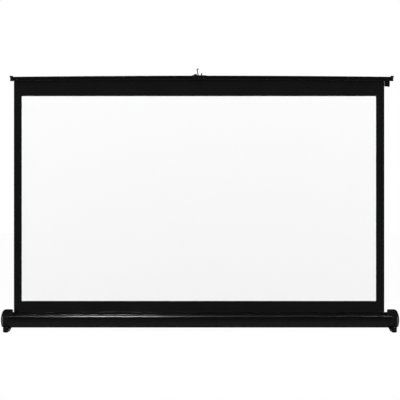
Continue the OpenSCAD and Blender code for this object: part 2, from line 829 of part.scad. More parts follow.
// Catch on the middle of the bar: a plate and skirt over the bar, a round-topped arm that runs back
// on the left, and jaws that hold the pole and open to the right
module bar_catch() {
    front = sheet_y - bar_depth / 2;
    arm_x = catch_from + arm_in;
    jaw_x1 = pole_x + jaw_reach;
    corner_x = jaw_x1 - jaw_corner_r;
    corners = [catch_back + jaw_corner_r, jaw_back - jaw_corner_r];
    color("#101010") difference() {
        union() {
            translate([catch_from, front - catch_skirt_t, bar_top])
                cube([catch_to - catch_from, bar_depth + catch_skirt_t, catch_t]);
            translate([catch_from, front - catch_skirt_t, bar_top - catch_skirt])
                cube([catch_to - catch_from, catch_skirt_t, catch_skirt + 1]);
            along_y(front, jaw_back - front) intersection() {
                round_box(arm_x, arm_x + arm_w, bar_top - arm_w, bar_top + arm_rise, 0, arm_r);
                translate([arm_x, bar_top]) square([arm_w, arm_rise]);
            }
            up(jaw_z0, jaw_h + catch_t) union() {
                translate([arm_x, catch_back]) square([corner_x - arm_x, jaw_back - catch_back]);
                translate([arm_x, corners[0]]) square([jaw_x1 - arm_x, corners[1] - corners[0]]);
                for (y = corners) translate([corner_x, y]) circle(jaw_corner_r);
            }
        }
        up(jaw_z0 - 1, jaw_h + arm_rise + 2) union() {
            translate([pole_x, pole_y]) circle(jaw_r);
            translate([pole_x, pole_y - jaw_r]) square([jaw_reach + 1, 2 * jaw_r]);
        }
        translate([pole_x, 0, clamp_z]) {
            round_y(pad_y0 - 1, clamp_pad_t + 1 + pass, clamp_pad_d / 2 + pass);
            round_y(pad_y0 + clamp_pad_t, jaw_wall + 1, insert_d / 2 + play);
        }
        at_catch_screws() round_y(-1, catch_skirt_t + 2, screw_r + play);
    }
}

// Places of the two screws through the catch's skirt
module at_catch_screws() {
    for (x = [catch_from + 5, catch_to - 7.5]) {
        translate([x, sheet_y - bar_depth / 2 - catch_skirt_t, bar_top - 5]) children();
    }
}

module catch_screws() {
    color("#2a2a2a") at_catch_screws() rotate([90, 0, 0])
        pan_screw(catch_screw_len, screw_r, head_r, head_h);
}

module clamp_insert() {
    y0 = pad_y0 + clamp_pad_t + pass;
    color("#b08d3c") translate([pole_x, 0, clamp_z]) difference() {
        round_y(y0, jaw_back - y0, insert_d / 2);
        round_y(y0 - 1, jaw_back - y0 + 2, clamp_d / 2);
    }
}

// Directions of the lever's long bend and the middles of its two bends, in X and Z from the clamp screw
lever_a0 = 90 + lever_lean;
lever_a1 = lever_a0 - lever_bend;
function out(angle, r) = [r * cos(angle), r * sin(angle)];
lever_p0 = out(lever_a0, lever_start);
bend_mid = lever_p0 - out(lever_a0 + 90, lever_r);
lever_p1 = bend_mid + out(lever_a1 + 90, lever_r);
curl_mid = lever_p1 - out(lever_a1 + 90, curl_r);
curl_start = lever_a1 + 90;
curl_end = curl_start - curl_turn;

// Places along the lever, each with the middle of its bend, its distance from there and its angle
bend_steps = 3;
curl_steps = 10;
tip_steps = 6;
shank_places = [for (i = [0:bend_steps]) [bend_mid, lever_r, lever_a0 + 90 - i * lever_bend / bend_steps]];
curl_places = [for (i = [1:curl_steps]) [curl_mid, curl_r, curl_start - i * curl_turn / curl_steps]];
function tip_places(from, to) =
    [for (i = [0:tip_steps]) [curl_mid, curl_r, from + (to - from) * i / tip_steps]];

module on_lever() {
    translate([pole_x, lever_y, clamp_z]) rotate([90, 0, 0]) children();
}

// Round wire through such places
module bent_wire(places, r) {
    sides = 12;
    last = len(places) - 1;
    rings = [for (place = places, side = [0:sides - 1])
        let (turn = side * 360 / sides, reach = place[1] + r * cos(turn))
        [place[0][0] + reach * cos(place[2]), place[0][1] + reach * sin(place[2]), r * sin(turn)]];
    walls = [for (i = [0:last - 1], side = [0:sides - 1])
        let (a = i * sides + side, b = i * sides + (side + 1) % sides)
        each [[a, a + sides, b + sides], [a, b + sides, b]]];
    ends = [[for (side = [0:sides - 1]) side], [for (side = [sides - 1:-1:0]) last * sides + side]];
    polyhedron(points = rings, faces = concat(walls, ends));
}

module clamp_screw() {
    y0 = pad_y0 + clamp_pad_t;
    color("#8e9092") difference() {
        translate([pole_x, 0, clamp_z]) {
            round_y(y0, hub_y - y0 + 1, clamp_d / 2 - run);
            round_y(hub_y, hub_len, hub_d / 2);
        }
        on_lever() translate(lever_p0) rotate([0, 0, lever_a0]) rotate([0, 90, 0])
            cylinder(h = hub_d, r = lever_d / 2 + lever_sag + play);
    }
}

module clamp_pad() {
    color("#e6e4dc") translate([pole_x, 0, clamp_z]) round_y(pad_y0, clamp_pad_t, clamp_pad_d / 2);
}

module clamp_lever() {
    color("#4a4b4c") on_lever() bent_wire(concat(shank_places, curl_places), lever_d / 2);
}

// Soft sleeve over the end of the curl
module lever_tip() {
    closed = tip_wall / curl_r * 180 / PI;
    open = 2;
    color("#141414") on_lever() difference() {
        bent_wire(tip_places(curl_end + tip_turn, curl_end - closed), lever_d / 2 + tip_wall);
        bent_wire(tip_places(curl_end + tip_turn + open, curl_end), lever_d / 2 + play);
    }
}

module at_pivot() {
    translate([pole_x, 0, pole_pivot_z]) children();
}

// Bracket on the case's back: a plate, a rear cheek, and webs below and to the left of the pole's foot
module pole_bracket() {
    left = -foot_r - pass - bracket_t;
    depth = cheek_y + bracket_t - plate_y;
    right = foot_r + 4;
    color("#171717") difference() {
        translate([pole_x, 0, bracket_z0]) union() {
            translate([-bracket_left, plate_y, 0]) cube([bracket_left + bracket_right, bracket_t, bracket_h]);
            translate([left, plate_y, 0]) cube([right - left, depth, bracket_t]);
            translate([left, plate_y, 0]) cube([bracket_t, depth, bracket_h]);
            translate([left, cheek_y, 0]) cube([right - left, bracket_t, bracket_h]);
        }
        at_pivot() {
            round_y(plate_y - 1, depth + 2, bolt_r + play);
            translate([0, plate_y, 0]) rotate([-90, 0, 0])
                cylinder(h = bracket_t, r1 = bolt_r + bracket_t + play, r2 = bolt_r + play);
        }
        at_back_screws() round_y(-1, bracket_t + 2, screw_r + slip);
    }
}

module bracket_screws() {
    color("#2a2a2a") at_back_screws() translate([0, bracket_t, 0]) rotate([-90, 0, 0])
        pan_screw(plate_screw_len, screw_r, head_r, head_h);
}

// Countersunk bolt that the pole's foot turns on
module pole_bolt() {
    length = cheek_y + bracket_t - plate_y + bolt_tail;
    color("#8e9092") at_pivot() translate([0, plate_y, 0]) rotate([-90, 0, 0]) {
        cylinder(h = bracket_t, r1 = bolt_r + bracket_t, r2 = bolt_r);
        cylinder(h = length, r = bolt_r);
    }
}

module pole_nut() {
    y0 = cheek_y + bracket_t;
    color("#8e9092") at_pivot() difference() {
        translate([0, y0, 0]) rotate([-90, 0, 0]) union() {
            cylinder(h = nut_flange_h, r = nut_flange_r);
            translate([0, 0, nut_flange_h]) cylinder(h = nut_h, r = nut_r, $fn = 6);
        }
        round_y(y0 - 1, nut_flange_h + nut_h + 2, bolt_r + play);
    }
}

// Foot of the pole: a round-ended block on the bolt, with a spigot for the lower tube
module pole_foot() {
    color("#1b1b1b") difference() {
        union() {
            at_pivot() round_y(pole_y - foot_r, 2 * foot_r, foot_r);
            translate([pole_x - foot_r, pole_y - foot_r, pole_pivot_z])
                cube([2 * foot_r, 2 * foot_r, foot_rise]);
            translate([pole_x, pole_y, lower_z0 - 1])
                cylinder(h = guide_len + 1, r = lower_d / 2 - tube_wall - play);
        }
        at_pivot() round_y(pole_y - foot_r - 1, 2 * foot_r + 2, bolt_r + run);
    }
}

module pole_tube(z0, length, r) {
    translate([pole_x, pole_y, z0]) difference() {
        cylinder(h = length, r = r);
        translate([0, 0, -1]) cylinder(h = length + 2, r = r - tube_wall);
    }
}

module pole_lower_tube() {
    color("#b8babd") pole_tube(lower_z0, lower_z1 - lower_z0, lower_d / 2);
}

// Ring on top of the lower tube that slides in the upper one
module pole_slider() {
    color("#e6e4dc") translate([pole_x, pole_y, lower_z1 - guide_len]) difference() {
        cylinder(h = guide_len, r = upper_d / 2 - tube_wall - run);
        translate([0, 0, -1]) cylinder(h = guide_len + 2, r = lower_d / 2 + play);
    }
}

module pole_upper_tube() {
    color("#151515") pole_tube(upper_z0, upper_len, upper_d / 2);
}

// Ring in the bottom of the upper tube that slides on the lower one
module pole_guide() {
    color("#e6e4dc") translate([pole_x, pole_y, upper_z0]) difference() {
        cylinder(h = guide_len, r = upper_d / 2 - tube_wall - play);
        translate([0, 0, -1]) cylinder(h = guide_len + 2, r = lower_d / 2 + run);
    }
}

module pole_tip() {
    collar = 2;
    color("#141414") translate([pole_x, pole_y, upper_z1]) {
        translate([0, 0, -12]) cylinder(h = 13, r = upper_d / 2 - tube_wall - play);
        cylinder(h = collar, r = upper_d / 2);
        cylinder(h = collar + prong_h - prong_tip_d / 2, r1 = prong_d / 2, r2 = prong_tip_d / 2);
        translate([0, 0, collar + prong_h - prong_tip_d / 2]) sphere(prong_tip_d / 2);
    }
}

// Cradle on the case's back that the folded pole lies in
module pole_rest() {
    channel_r = upper_d / 2 + pass;
    half = channel_r + rest_wall;
    color("#1b1b1b") difference() {
        union() {
            translate([rest_x - rest_screw_in - 4, plate_y, pole_pivot_z - half])
                cube([2 * rest_screw_in + 8, bracket_t, half + bracket_screw_up + 4]);
            translate([rest_x - rest_w / 2, plate_y, pole_pivot_z - half])
                cube([rest_w, pole_y + half - plate_y, half + 5]);
        }
        translate([0, pole_y, pole_pivot_z]) round_x(rest_x - rest_w, 2 * rest_w, channel_r);
        translate([rest_x - rest_w, pole_y - channel_r, pole_pivot_z])
            cube([2 * rest_w, 2 * channel_r, bracket_h]);
        at_rest_screws() round_y(-1, bracket_t + 2, screw_r + slip);
    }
}

module rest_screws() {
    color("#2a2a2a") at_rest_screws() translate([0, bracket_t, 0]) rotate([-90, 0, 0])
        pan_screw(plate_screw_len, screw_r, head_r, head_h);
}

// Leg of the front right corner, with its pivot on the Z axis and its tip towards the front
module leg() {
    half = leg_w / 2;
    knee = -half - 5;
    nose = leg_tip_h - 3;
    tip_y = leg_tip_r - leg_reach;
    arch_end = pad_end + pad_len + 2 - leg_reach;
    difference() {
        intersection() {
            along_y(-leg_reach, leg_reach + half) intersection() {
                round_box(-half, half, pad_proud, leg_h, 1, 1);
                polygon([
                    [-half, leg_h], [-half, leg_h - leg_lip], [leg_slant - half, pad_proud],
                    [half, pad_proud], [half, leg_h]
                ]);
            }
            up(0, leg_h) intersection() {
                union() {
                    circle(half);
                    translate([-half, -leg_reach - 1]) square([leg_w, leg_reach + 1]);
                }
                polygon(concat(
                    [[-half - 1, -half], [-half - 1, half + 1], [half + 1, half + 1], [half + 1, -half]],
                    arc(leg_tip_out - leg_tip_r, tip_y, leg_tip_r, 0, -90),
                    arc(leg_tip_r - leg_tip_in, tip_y, leg_tip_r, 270, 180)
                ));
            }
            along_x(-half, leg_w) polygon([
                [half, leg_arch], [half, leg_h], [knee, leg_h], [pad_end - leg_reach, leg_tip_h],
                [-leg_reach, nose], [-leg_reach, 0], [arch_end, 0], [knee, leg_arch]
            ]);
        }
        cylinder(h = leg_h + 1, r = leg_screw_r + run);
        cylinder(h = leg_head_z + pass, r = leg_head_r + head_gap);
        translate([0, 0, leg_h + leg_gap - leg_washer_t - pass])
            cylinder(h = leg_washer_t + 1, r = leg_washer_d / 2 + pass);
        pad_block(seat_gap, 0);
    }
}

module pad_block(gap, low) {
    translate([leg_tip_out - pad_edge - pad_w - gap, pad_end - leg_reach - gap, low])
        cube([pad_w + 2 * gap, pad_len + 2 * gap, pad_proud + pad_seat - low]);
}

// Repeats the front right corner's piece at a corner: 1 right or rear, 0 left or front
module at_corner(right, rear) {
    mirror([1 - right, 0, 0]) mirror([0, rear, 0]) translate([leg_x, -leg_y, 0]) children();
}

module leg_screws() {
    color("#8e9092") for (right = [0, 1], rear = [0, 1]) at_corner(right, rear) union() {
        translate([0, 0, leg_head_z])
            cylinder(h = case_z0 + leg_screw_seat - 0.5 - leg_head_z, r = leg_screw_r);
        difference() {
            translate([0, 0, leg_head_z - leg_head_h]) cylinder(h = leg_head_h + 0.1, r = leg_head_r);
            translate([0, 0, leg_head_z - leg_head_h - 1])
                cylinder(h = leg_socket_h + 1, r = leg_socket_r, $fn = 6);
        }
    }
}

module leg_washers() {
    color("#8e9092") for (right = [0, 1], rear = [0, 1]) at_corner(right, rear) difference() {
        translate([0, 0, case_z0 - leg_washer_t]) cylinder(h = leg_washer_t, r = leg_washer_d / 2);
        cylinder(h = case_z0 + 1, r = leg_screw_r + play);
    }
}

module leg_at(right, rear) {
    color("#1b1b1b") at_corner(right, rear) leg();
}

module pad_at(right, rear) {
    color("#303030") at_corner(right, rear) pad_block(0, 0);
}

case_tube();
left_end_cap();
right_end_cap();
cap_screws();
spring_shaft();
spring_collar();
idler_pin();
roller_tube();
wound_fabric();
left_roller_plug();
right_roller_plug();
torsion_spring();
drive_plug();
screen_sheet();
top_bar();
hem_rod();
left_bar_cap();
right_bar_cap();
closing_tongue();
bar_catch();
catch_screws();
clamp_insert();
clamp_screw();
clamp_pad();
clamp_lever();
lever_tip();
pole_bracket();
bracket_screws();
pole_bolt();
pole_nut();
pole_foot();
pole_lower_tube();
pole_slider();
pole_upper_tube();
pole_guide();
pole_tip();
pole_rest();
rest_screws();
leg_at(0, 0);  // front_left_leg
leg_at(0, 1);  // rear_left_leg
leg_at(1, 0);  // front_right_leg
leg_at(1, 1);  // rear_right_leg
pad_at(0, 0);  // front_left_pad
pad_at(0, 1);  // rear_left_pad
pad_at(1, 0);  // front_right_pad
pad_at(1, 1);  // rear_right_pad
leg_screws();
leg_washers();
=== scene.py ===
import json
import math

import bmesh
import bpy
from mathutils import Matrix, Vector


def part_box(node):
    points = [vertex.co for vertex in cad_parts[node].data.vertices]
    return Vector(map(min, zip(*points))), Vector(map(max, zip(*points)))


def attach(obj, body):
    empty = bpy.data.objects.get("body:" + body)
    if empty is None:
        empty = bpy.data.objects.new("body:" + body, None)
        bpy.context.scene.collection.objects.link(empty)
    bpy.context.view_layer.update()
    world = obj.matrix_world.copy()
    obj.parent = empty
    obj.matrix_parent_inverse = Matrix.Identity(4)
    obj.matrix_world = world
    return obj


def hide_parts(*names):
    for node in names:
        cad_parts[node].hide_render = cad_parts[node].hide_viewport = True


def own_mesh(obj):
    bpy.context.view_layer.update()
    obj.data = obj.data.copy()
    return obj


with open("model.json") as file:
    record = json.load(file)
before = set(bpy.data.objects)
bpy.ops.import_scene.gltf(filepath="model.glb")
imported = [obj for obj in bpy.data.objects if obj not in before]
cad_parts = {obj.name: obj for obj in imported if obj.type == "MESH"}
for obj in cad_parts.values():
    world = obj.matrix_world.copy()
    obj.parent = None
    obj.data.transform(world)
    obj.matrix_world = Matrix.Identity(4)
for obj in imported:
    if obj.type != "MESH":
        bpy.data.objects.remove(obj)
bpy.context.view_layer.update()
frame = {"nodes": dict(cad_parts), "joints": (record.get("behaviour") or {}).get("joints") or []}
print("frame loaded:", len(frame["nodes"]), "nodes")

mm = 0.001  # the frame is in metres
rightAngle = 90.0


# A wrapped socket, so that shader values add, scale and mix as plain expressions
class Wire:
    def __init__(self, graph, socket):
        self.graph = graph
        self.socket = socket

    def __add__(self, other):
        return self.graph.maths("ADD", self, other)

    __radd__ = __add__

    def __sub__(self, other):
        return self.graph.maths("SUBTRACT", self, other)

    def __rsub__(self, other):
        return self.graph.maths("SUBTRACT", other, self)

    def __mul__(self, other):
        return self.graph.maths("MULTIPLY", self, other)

    __rmul__ = __mul__


# The nodes of one finish, or of the room
class Graph:
    def __init__(self, tree):
        self.tree = tree

    def feed(self, target, values):
        for key, value in values.items():
            socket = target.inputs[key]
            if isinstance(value, Wire):
                self.tree.links.new(value.socket, socket)
            else:
                socket.default_value = value

    def node(self, kind, settings, values, output=0):
        made = self.tree.nodes.new(kind)
        for key, value in settings.items():
            setattr(made, key, value)
        self.feed(made, values)
        return Wire(self, made.outputs[output])

    def maths(self, operation, first, second):
        return self.node("ShaderNodeMath", {"operation": operation}, {0: first, 1: second})

    def either(self, first, second):
        return self.maths("MAXIMUM", first, second)

    def ray(self, kind):
        return self.node("ShaderNodeLightPath", {}, {}, kind)


class Finish(Graph):
    def __init__(self, name, shader):
        self.material = bpy.data.materials.new(name)
        self.material.use_nodes = True
        super().__init__(self.material.node_tree)
        self.shader = self.tree.nodes["Principled BSDF"]
        self.feed(self.shader, shader)

    def grain(self, scale, detail, source="Object"):
        place = self.node("ShaderNodeTexCoord", {}, {}, source)
        spot = self.node("ShaderNodeMapping", {}, {"Vector": place, "Scale": scale})
        values = {"Vector": spot, "Scale": 1.0, "Detail": detail}
        return self.node("ShaderNodeTexNoise", {}, values, "Fac")

    def tint(self, mask, dark, light):
        values = {"Factor": mask, "A": dark, "B": light}
        return self.node("ShaderNodeMix", {"data_type": "RGBA"}, values, "Result")

    def bump(self, height, strength, depth):
        values = {"Height": height, "Strength": strength, "Distance": depth}
        return self.node("ShaderNodeBump", {}, values, "Normal")


def grey(level, warm=0.0):
    return (level * (1 + warm), level, level * (1 - warm), 1.0)


def around(base, mask, spread):
    # Noise is 0.5 on average, so the surface keeps its base value as a whole
    return base + (mask - 0.5) * spread


def drawn(across, along, axis):
    # Scale of a pattern that is drawn out along one axis
    return [along if side == axis else across for side in range(3)]


# Finishes. Scales are per metre, depths in metres

# Satin anodised profile: die lines and faint dust run along it
extruded = {"colour": 0.0018, "dust": 0.0036, "level": 1.0, "roughness": 0.16, "streak": 0.04,
            "fine": 2200.0, "fineAlong": 3.0, "broad": 60.0, "broadAlong": 2.0,
            "bump": 0.25, "depth": 0.00002}


def extrusion(name, axis):
    made = Finish(name, {"Specular IOR Level": extruded["level"]})
    lines = made.grain(drawn(extruded["fine"], extruded["fineAlong"], axis), detail=1.0)
    cloud = made.grain(drawn(extruded["broad"], extruded["broadAlong"], axis), detail=3.0)
    streaked = around(extruded["roughness"], lines, extruded["streak"])
    made.feed(made.shader, {
        "Base Color": made.tint(cloud, grey(extruded["colour"]), grey(extruded["dust"])),
        "Roughness": around(streaked, cloud, extruded["streak"]),
        "Normal": made.bump(lines, extruded["bump"], extruded["depth"]),
    })
    return made


# Moulded pieces: a fine sparked grain, with slightly polished patches
plastics = {
    "cap": {"name": "grainedBlackPlastic", "colour": 0.0024, "worn": 0.004, "roughness": 0.3,
            "level": 0.4, "grain": 1500.0, "depth": 0.00006},
    "foot": {"name": "matteBlackPlastic", "colour": 0.0022, "worn": 0.0036, "roughness": 0.6,
             "level": 0.12, "grain": 1200.0, "depth": 0.00006},
    "rubber": {"name": "softBlackRubber", "colour": 0.004, "worn": 0.007, "roughness": 0.78,
               "level": 0.2, "grain": 900.0, "depth": 0.00008},
    "acetal": {"name": "naturalAcetal", "colour": 0.78, "worn": 0.86, "roughness": 0.38,
               "level": 0.5, "grain": 700.0, "depth": 0.00001},
}
polish = {"scale": 28.0, "spread": 0.14, "bump": 0.5}


def moulding(name, colour, worn, roughness, level, grain, depth):
    made = Finish(name, {"Specular IOR Level": level})
    texture = made.grain([grain] * 3, detail=2.0)
    patches = made.grain([polish["scale"]] * 3, detail=3.0)
    made.feed(made.shader, {
        "Base Color": made.tint(patches, grey(colour), grey(worn)),
        "Roughness": around(roughness, patches, polish["spread"]),
        "Normal": made.bump(texture, polish["bump"], depth),
    })
    return made


# Metals: soft stains over a fine grain, which is drawn along the tubes
metals = {
    "darkSteel": {"name": "blackZincSteel", "colour": 0.035, "roughness": 0.42, "grain": 700.0},
    "steel": {"name": "brightZincSteel", "colour": 0.6, "roughness": 0.3, "grain": 900.0},
    "wire": {"name": "blackenedWire", "colour": 0.03, "roughness": 0.4, "grain": 900.0},
    "spring": {"name": "oiledSpringSteel", "colour": 0.2, "roughness": 0.34, "grain": 600.0},
    "aluminium": {"name": "satinAluminiumTube", "colour": 0.74, "roughness": 0.32,
                  "grain": 1800.0, "axis": 2},
    "roller": {"name": "millAluminiumRoller", "colour": 0.7, "roughness": 0.36,
               "grain": 1800.0, "axis": 0},
    "brass": {"name": "turnedBrass", "colour": 0.5, "roughness": 0.3, "grain": 900.0,
              "warm": 0.42},
}
tarnish = {"scale": 90.0, "dark": 0.88, "light": 1.08, "spread": 0.16,
           "along": 3.0, "bump": 0.3, "depth": 0.00001}


def metal(name, colour, roughness, grain, axis=None, warm=0.0):
    made = Finish(name, {"Metallic": 1.0})
    lines = made.grain(drawn(grain, tarnish["along"], axis), detail=2.0)
    stains = made.grain([tarnish["scale"]] * 3, detail=3.0)
    dark = grey(colour * tarnish["dark"], warm)
    light = grey(min(1.0, colour * tarnish["light"]), warm)
    made.feed(made.shader, {
        "Base Color": made.tint(stains, dark, light),
        "Roughness": around(roughness, stains, tarnish["spread"]),
        "Normal": made.bump(lines, tarnish["bump"], tarnish["depth"]),
    })
    return made


# Coated cloth: a fine plain weave under the coating, on the piece's own map in metres
cloths = {
    "white": {"name": "matteWhiteScreen", "colour": 0.9, "roughness": 0.85, "level": 0.25,
              "spread": 0.006},
    "border": {"name": "matteBlackBorder", "colour": 0.0052, "roughness": 0.9, "level": 0.05,
               "spread": 0.3},
    "back": {"name": "blackScreenBack", "colour": 0.006, "roughness": 0.75, "level": 0.2,
             "spread": 0.25},
}
coating = {"weave": 1700.0, "clouds": 9.0, "spread": 0.06, "bump": 0.2, "depth": 0.00003}


def cloth(name, colour, roughness, level, spread):
    made = Finish(name, {"Specular IOR Level": level})
    weave = made.grain([coating["weave"], coating["weave"], 1.0], detail=1.0, source="UV")
    clouds = made.grain([coating["clouds"], coating["clouds"], 1.0], detail=2.0, source="UV")
    dark = grey(colour * (1 - spread))
    light = grey(min(1.0, colour * (1 + spread)))
    made.feed(made.shader, {
        "Base Color": made.tint(clouds, dark, light),
        "Roughness": around(roughness, weave, coating["spread"]),
        "Normal": made.bump(weave, coating["bump"], coating["depth"]),
    })
    return made


finishes = {"case": extrusion("satinBlackProfile", 0), "tube": extrusion("satinBlackTube", 2)}
finishes.update({key: moulding(**values) for key, values in plastics.items()})
finishes.update({key: metal(**values) for key, values in metals.items()})
finishes.update({key: cloth(**values) for key, values in cloths.items()})
print("finishes made:", len(finishes))


# Meshes: distances in metres, angles in degrees. "rounded" is where an edge gets its bevel
meshing = {"weld": 2e-6, "touch": 1e-6, "flat": 0.5, "sharp": 32.0, "rounded": 34.0, "segments": 2}


def merged(node):
    # A welded copy of the solid's mesh, with flat faces in one piece
    mesh = bmesh.new()
    mesh.from_mesh(frame["nodes"][node].data)
    bmesh.ops.remove_doubles(mesh, verts=mesh.verts, dist=meshing["weld"])
    flat = math.radians(meshing["flat"])
    bmesh.ops.dissolve_limit(mesh, angle_limit=flat, verts=mesh.verts, edges=mesh.edges)
    return mesh


def cut(mesh, place, direction):
    everything = mesh.verts[:] + mesh.edges[:] + mesh.faces[:]
    bmesh.ops.bisect_plane(mesh, geom=everything, plane_co=place, plane_no=direction,
                           dist=meshing["touch"])


def spun(mesh, faces, centre, axis, turn, steps, climb=(0, 0, 0)):
    # Sweeps a section round an axis and gives the section at the end
    made = bmesh.ops.spin(mesh, geom=faces, cent=centre, axis=axis, dvec=climb, angle=turn,
                          steps=steps, use_merge=False, use_duplicate=False)
    return [item for item in made["geom_last"] if isinstance(item, bmesh.types.BMFace)]


def closed(mesh):
    # Joins what touches, drops faces left inside and turns the rest outwards
    bmesh.ops.remove_doubles(mesh, verts=mesh.verts, dist=meshing["touch"])
    inside = [face for face in mesh.faces if all(len(edge.link_faces) > 2 for edge in face.edges)]
    bmesh.ops.delete(mesh, geom=inside, context="FACES_ONLY")
    bmesh.ops.recalc_face_normals(mesh, faces=mesh.faces)
    return mesh


def unroll(mesh):
    # The cloth's own map, in metres
    layer = mesh.loops.layers.uv.new("cloth")
    for face in mesh.faces:
        for loop in face.loops:
            loop[layer].uv = (loop.vert.co.x, loop.vert.co.z)


def show(name, data):
    made = bpy.data.objects.new(name, data)
    bpy.context.scene.collection.objects.link(made)
    return made


def settle(name, mesh, materials):
    # Turns a bmesh into an object at the origin, smooth but for its sharp edges
    for face in mesh.faces:
        face.smooth = True
    sharp = math.radians(meshing["sharp"])
    for edge in mesh.edges:
        edge.smooth = edge.is_manifold and edge.calc_face_angle(0.0) < sharp
    data = bpy.data.meshes.new(name)
    mesh.to_mesh(data)
    mesh.free()
    for finish in materials:
        data.materials.append(finish.material)
    return show(name, data)


def soften(piece, width):
    # A small round on every hard edge
    bevel = piece.modifiers.new("edges", "BEVEL")
    bevel.limit_method = "ANGLE"
    bevel.angle_limit = math.radians(meshing["rounded"])
    bevel.width = width
    bevel.segments = meshing["segments"]
    bevel.profile = 0.5
    bevel.harden_normals = True
    bevel.use_clamp_overlap = True


def seat(piece, body, node):
    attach(piece, body)
    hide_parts(node)


# The bar's ends hang a little lower than its middle, which the catch holds up
bow = {"middle": 5.5 * mm, "half": 600 * mm, "rise": 2.4 * mm, "fall": 1.2 * mm, "cuts": 24,
       "margin": 1 * mm}


def bend(mesh):
    left = min(vert.co.x for vert in mesh.verts) + bow["margin"]
    right = max(vert.co.x for vert in mesh.verts) - bow["margin"]
    for step in range(1, bow["cuts"]):
        x = bow["middle"] + bow["half"] * (2 * step / bow["cuts"] - 1)
        if left < x < right:
            cut(mesh, (x, 0, 0), (1, 0, 0))
    for vert in mesh.verts:
        share = (vert.co.x - bow["middle"]) / bow["half"]
        vert.co.z += bow["rise"] - (bow["rise"] + bow["fall"]) * share * share


# Pieces whose form is the solid's own, by the body they move with. "edge" is a rounding in mm
dressed = [
    ("base", [
        {"name": "caseProfile", "node": "case_tube", "finish": "case", "edge": 0.25},
        {"name": "leftEndCap", "node": "left_end_cap", "finish": "cap", "edge": 0.5},
        {"name": "rightEndCap", "node": "right_end_cap", "finish": "cap", "edge": 0.5},
        {"name": "capScrews", "node": "cap_screws", "finish": "darkSteel", "edge": 0.25},
        {"name": "springShaft", "node": "spring_shaft", "finish": "steel", "edge": 0.4},
        {"name": "springCollar", "node": "spring_collar", "finish": "spring", "edge": 0.4},
        {"name": "idlerPin", "node": "idler_pin", "finish": "steel", "edge": 0.4},
    ]),
    ("roller", [
        {"name": "rollerTube", "node": "roller_tube", "finish": "roller", "edge": 0.2},
        {"name": "leftRollerPlug", "node": "left_roller_plug", "finish": "acetal", "edge": 0.3},
        {"name": "rightRollerPlug", "node": "right_roller_plug", "finish": "acetal", "edge": 0.3},
        {"name": "drivePlug", "node": "drive_plug", "finish": "acetal", "edge": 0.3},
    ]),
    ("bar", [
        {"name": "topBar", "node": "top_bar", "finish": "case", "edge": 0.2, "bent": True},
        {"name": "hemRod", "node": "hem_rod", "finish": "steel", "edge": 0.3, "bent": True},
        {"name": "leftBarCap", "node": "left_bar_cap", "finish": "cap", "edge": 0.5, "bent": True},
        {"name": "rightBarCap", "node": "right_bar_cap", "finish": "cap", "edge": 0.5,
         "bent": True},
        {"name": "closingTongue", "node": "closing_tongue", "finish": "cap", "edge": 0.4,
         "bent": True},
        {"name": "barCatch", "node": "bar_catch", "finish": "cap", "edge": 0.6},
        {"name": "catchScrews", "node": "catch_screws", "finish": "darkSteel", "edge": 0.25},
        {"name": "clampInsert", "node": "clamp_insert", "finish": "brass", "edge": 0.2},
    ]),
    ("clamp", [
        {"name": "clampScrew", "node": "clamp_screw", "finish": "steel", "edge": 0.4},
        {"name": "clampPad", "node": "clamp_pad", "finish": "acetal", "edge": 0.3},
    ]),
    ("base", [
        {"name": "poleBracket", "node": "pole_bracket", "finish": "darkSteel", "edge": 0.5},
        {"name": "bracketScrews", "node": "bracket_screws", "finish": "darkSteel", "edge": 0.25},
        {"name": "poleBolt", "node": "pole_bolt", "finish": "steel", "edge": 0.3},
        {"name": "poleNut", "node": "pole_nut", "finish": "steel", "edge": 0.4},
    ]),
    ("pole_lower", [
        {"name": "poleFoot", "node": "pole_foot", "finish": "cap", "edge": 0.6},
        {"name": "poleLowerTube", "node": "pole_lower_tube", "finish": "aluminium", "edge": 0.2},
        {"name": "poleSlider", "node": "pole_slider", "finish": "acetal", "edge": 0.2},
    ]),
    ("pole_upper", [
        {"name": "poleUpperTube", "node": "pole_upper_tube", "finish": "tube", "edge": 0.2},
        {"name": "poleGuide", "node": "pole_guide", "finish": "acetal", "edge": 0.2},
        {"name": "poleTip", "node": "pole_tip", "finish": "cap", "edge": 0.3},
    ]),
    ("base", [
        {"name": "poleRest", "node": "pole_rest", "finish": "cap", "edge": 0.6},
        {"name": "restScrews", "node": "rest_screws", "finish": "darkSteel", "edge": 0.25},
        {"name": "legScrews", "node": "leg_screws", "finish": "steel", "edge": 0.3},
        {"name": "legWashers", "node": "leg_washers", "finish": "steel", "edge": 0.2},
    ]),
]
for end in ("front", "rear"):
    for side in ("left", "right"):
        name = end + side.title()
        foot = f"{end}_{side}"
        dressed.append((foot + "_foot", [
            {"name": name + "Leg", "node": foot + "_leg", "finish": "foot", "edge": 0.5},
            {"name": name + "Pad", "node": foot + "_pad", "finish": "rubber", "edge": 0.3},
        ]))

for body, parts in dressed:
    for part in parts:
        mesh = merged(part["node"])
        if part.get("bent"):
            bend(mesh)
        piece = settle(part["name"], mesh, [finishes[part["finish"]]])
        soften(piece, part["edge"] * mm)
        seat(piece, body, part["node"])
print("solids dressed:", sum(len(parts) for body, parts in dressed))


# The screen: one flat cloth with a white front, black borders and a black back
screen = {"left": 24.7 * mm, "right": 26 * mm, "belowBar": 48.6 * mm, "white": 640 * mm,
          "columns": 48, "rows": 32}
screenParts = ["white", "border", "back"]
sheetLow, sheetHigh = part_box("screen_sheet")
sheetSize = sheetHigh - sheetLow


